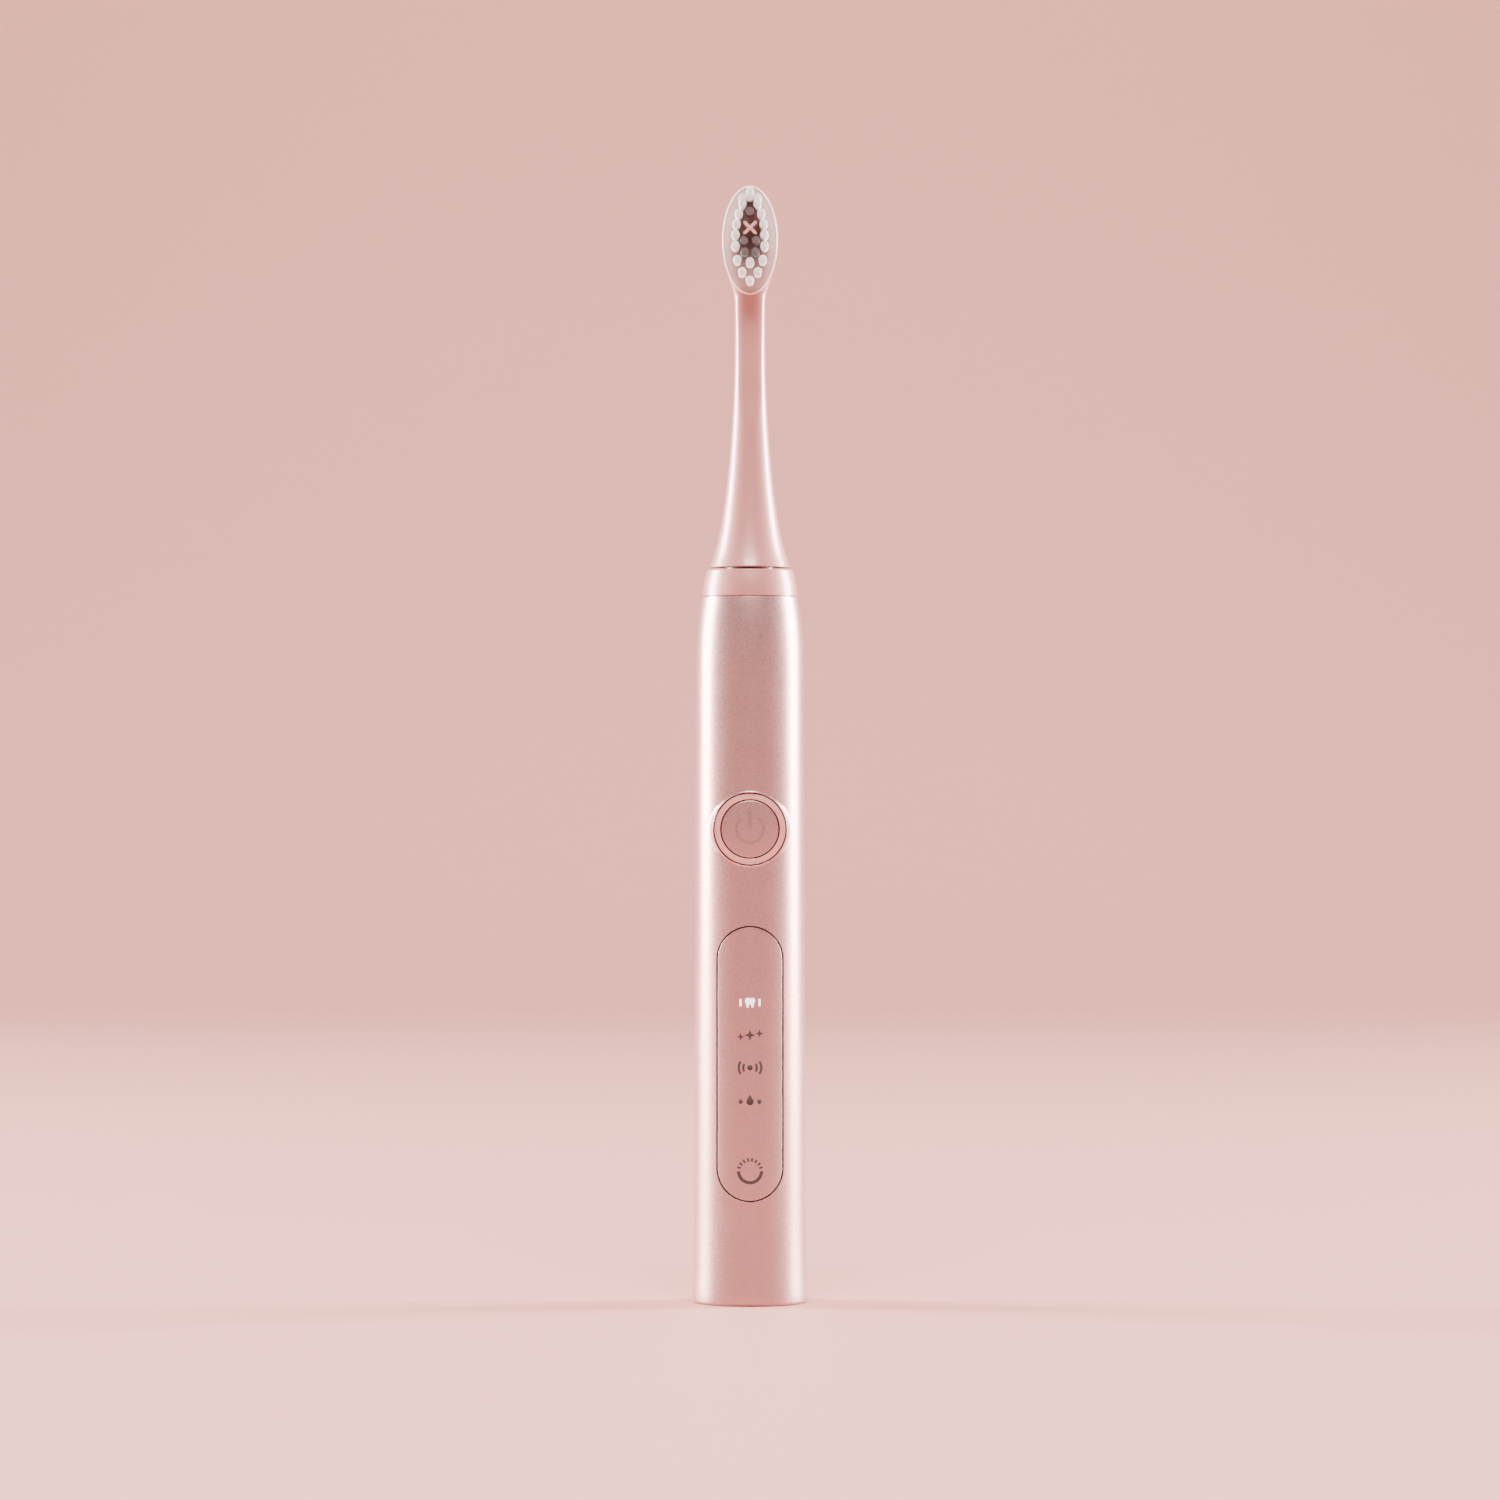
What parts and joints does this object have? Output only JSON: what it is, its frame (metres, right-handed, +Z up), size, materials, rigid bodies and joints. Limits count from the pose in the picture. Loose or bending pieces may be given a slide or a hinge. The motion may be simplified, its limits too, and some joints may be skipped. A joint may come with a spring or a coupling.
{
  "type": "electric toothbrush",
  "caption": "Slim free-standing sonic toothbrush with a pull-off brush head, a push button, a backlit control panel and a charging socket in the base.",
  "frame": {"origin": "mouth of the charging socket, at the middle of the base, in the plane that the brush stands on", "axes": "+Z up along the handle, bristles, button and control panel face -Y, +X to the right seen from the front"},
  "size_m": [0.0258, 0.0258, 0.2488],
  "materials": {
    "rose_lacquer": "satin metallic lacquer",
    "rose_gloss": "glossy",
    "bezel_rose": "satin",
    "dark_rubber": "matte",
    "pale_rubber": "matte",
    "pale_plastic": "matte",
    "black_plastic": "matte",
    "clear_plastic": "frosted clear",
    "lamp_plastic": "glossy",
    "lit_icon": "backlit",
    "dim_icon": "satin",
    "board_green": "satin solder mask",
    "component_tan": "matte",
    "bright_steel": "bright",
    "core_steel": "laminated, dull",
    "bearing_bronze": "sintered, oiled",
    "copper_wire": "enamelled copper wire",
    "red_lead": "satin insulation",
    "magnet": "nickel plated",
    "cell_sleeve": "shrink sleeve",
    "plate_rose": "fine matte",
    "white_nylon": "nylon filament",
    "grey_nylon": "nylon filament",
    "pink_rubber": "soft",
    "anchor_brass": "stamped"
  },
  "bodies": {
    "handle": {"handle_shell": "rose_lacquer", "nose_collar": "rose_gloss", "nose_seal": "dark_rubber", "shaft_seal": "dark_rubber", "seal_retainer": "pale_plastic", "button_bezel": "bezel_rose", "button_gasket": "pale_rubber", "control_panel": "rose_lacquer", "mode_icon_1": "lit_icon", "mode_icon_2": "dim_icon", "mode_icon_3": "dim_icon", "mode_icon_4": "dim_icon", "gauge_icon": "dim_icon", "light_pipes": "clear_plastic", "light_shield": "black_plastic", "status_leds": "lamp_plastic", "circuit_board": "board_green", "controller_chip": "black_plastic", "board_components": "component_tan", "board_screws": "bright_steel", "switch_body": "black_plastic", "chassis": "pale_plastic", "motor_can": "bright_steel", "front_bracket": "bright_steel", "rear_bracket": "black_plastic", "front_bearing": "bearing_bronze", "rear_bearing": "bearing_bronze", "stator_core": "core_steel", "stator_coils": "copper_wire", "motor_dampers": "dark_rubber", "motor_leads": "red_lead", "battery_cell": "cell_sleeve", "battery_tabs": "bright_steel", "bottom_cap": "rose_gloss", "bottom_seal": "dark_rubber", "coil_bobbin": "pale_plastic", "charge_coil": "copper_wire", "coil_leads": "copper_wire"},
    "button": {"power_button": "rose_lacquer"},
    "plunger": {"switch_plunger": "pale_plastic"},
    "drive": {"drive_shaft": "bright_steel", "rotor_hub": "core_steel", "rotor_magnets": "magnet"},
    "brush_head": {"brush_neck": "rose_gloss", "bristle_plate": "plate_rose", "white_tufts": "white_nylon", "grey_tufts": "grey_nylon", "polisher_cross": "pink_rubber", "tuft_anchors": "anchor_brass", "shaft_socket": "pale_plastic", "retaining_clip": "bright_steel"}
  },
  "joints": [
    {"name": "button_press", "type": "slide", "parent": "handle", "child": "button", "axis": [0, 1, 0], "range_m": [0, 0.00035], "stiffness_N_per_m": 2500},
    {"name": "plunger_press", "type": "slide", "parent": "handle", "child": "plunger", "axis": [0, 1, 0], "range_m": [0, 0.00035]},
    {"name": "drive_sweep", "type": "hinge", "parent": "handle", "child": "drive", "pos_m": [0, 0, 0.13], "axis": [0, 0, 1], "range_deg": [-5, 5], "stiffness_Nm_per_rad": 0.12},
    {"name": "head_pull", "type": "slide", "parent": "drive", "child": "brush_head", "axis": [0, 0, 1], "range_m": [0, 0.03]}
  ],
  "couplings": [
    {"joint": "plunger_press", "follows": "button_press", "ratio": 1}
  ]
}
